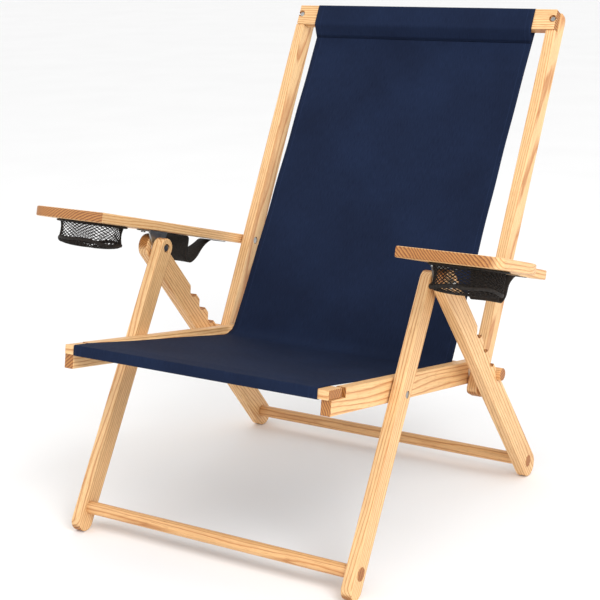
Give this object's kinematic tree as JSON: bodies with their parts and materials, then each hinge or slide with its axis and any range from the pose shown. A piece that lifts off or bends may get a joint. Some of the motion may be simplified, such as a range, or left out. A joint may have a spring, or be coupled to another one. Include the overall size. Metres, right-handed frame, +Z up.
{
  "type": "folding beach chair",
  "caption": "Folding wooden beach chair with canvas sling seat and back, notched rear legs for reclining, and wide armrests with cup holes, net pouches and pockets.",
  "frame": {"origin": "on the ground, under the middle of the chair's box", "axes": "+X to the sitter's left (the side named right), +Y towards the back of the chair, +Z up"},
  "size_m": [0.972, 0.897, 0.9161],
  "materials": {
    "timber": "oiled, satin",
    "dowel": "oiled, satin",
    "canvas": "woven polyester canvas",
    "net": "woven mesh",
    "steel": "zinc plated",
    "nylon": "plain"
  },
  "bodies": {
    "front_frame": {"front_leg_left": "timber", "front_leg_right": "timber", "front_stretcher": "dowel", "hinge_bolt_left": "steel", "hinge_bolt_right": "steel", "hinge_nut_left": "steel", "hinge_nut_right": "steel", "nut_washer_left": "steel", "nut_washer_right": "steel", "hinge_washer_left": "nylon", "hinge_washer_right": "nylon", "leg_washer_left": "nylon", "leg_washer_right": "nylon", "seat_bolt_left": "steel", "seat_bolt_right": "steel", "seat_washer_left": "nylon", "seat_washer_right": "nylon"},
    "rear_legs": {"rear_leg_left": "timber", "rear_leg_right": "timber", "rear_stretcher": "dowel"},
    "seat_frame": {"seat_rail_left": "timber", "seat_rail_right": "timber", "seat_front_bar": "timber", "seat_bar_screw_left": "steel", "seat_bar_screw_right": "steel", "notch_bar": "dowel", "axle_washer_left": "nylon", "axle_washer_right": "nylon", "seat_sling": "canvas"},
    "back_frame": {"back_rail_left": "timber", "back_rail_right": "timber", "top_bar": "timber", "top_bar_screw_left": "steel", "top_bar_screw_right": "steel", "back_sling": "canvas"},
    "armrest_left": {"armrest_left": "timber", "hinge_bracket_left": "steel", "bracket_screw_front_left": "steel", "bracket_screw_rear_left": "steel", "cup_pouch_left": "net", "pocket_left": "net", "arm_bolt_left": "steel", "arm_washer_left": "nylon"},
    "armrest_right": {"armrest_right": "timber", "hinge_bracket_right": "steel", "bracket_screw_front_right": "steel", "bracket_screw_rear_right": "steel", "cup_pouch_right": "net", "pocket_right": "net", "arm_bolt_right": "steel", "arm_washer_right": "nylon"}
  },
  "joints": [
    {"name": "rear_leg_swing", "type": "hinge", "parent": "front_frame", "child": "rear_legs", "pos_m": [0, -0.12731, 0.482], "axis": [-1, 0, 0], "range_deg": [0, 70]},
    {"name": "seat_fold", "type": "hinge", "parent": "front_frame", "child": "seat_frame", "pos_m": [0, -0.22758, 0.30549], "axis": [1, 0, 0], "range_deg": [0, 45]},
    {"name": "back_fold", "type": "hinge", "parent": "seat_frame", "child": "back_frame", "pos_m": [0, 0.08246, 0.25971], "axis": [1, 0, 0], "range_deg": [-45, 0]},
    {"name": "armrest_left_fold", "type": "hinge", "parent": "front_frame", "child": "armrest_left", "pos_m": [0, -0.12731, 0.482], "axis": [1, 0, 0], "range_deg": [0, 45]},
    {"name": "armrest_right_fold", "type": "hinge", "parent": "front_frame", "child": "armrest_right", "pos_m": [0, -0.12731, 0.482], "axis": [1, 0, 0], "range_deg": [0, 45]}
  ],
  "couplings": [
    {"joint": "back_fold", "follows": "seat_fold", "ratio": -1},
    {"joint": "armrest_left_fold", "follows": "seat_fold", "ratio": 1},
    {"joint": "armrest_right_fold", "follows": "seat_fold", "ratio": 1}
  ]
}
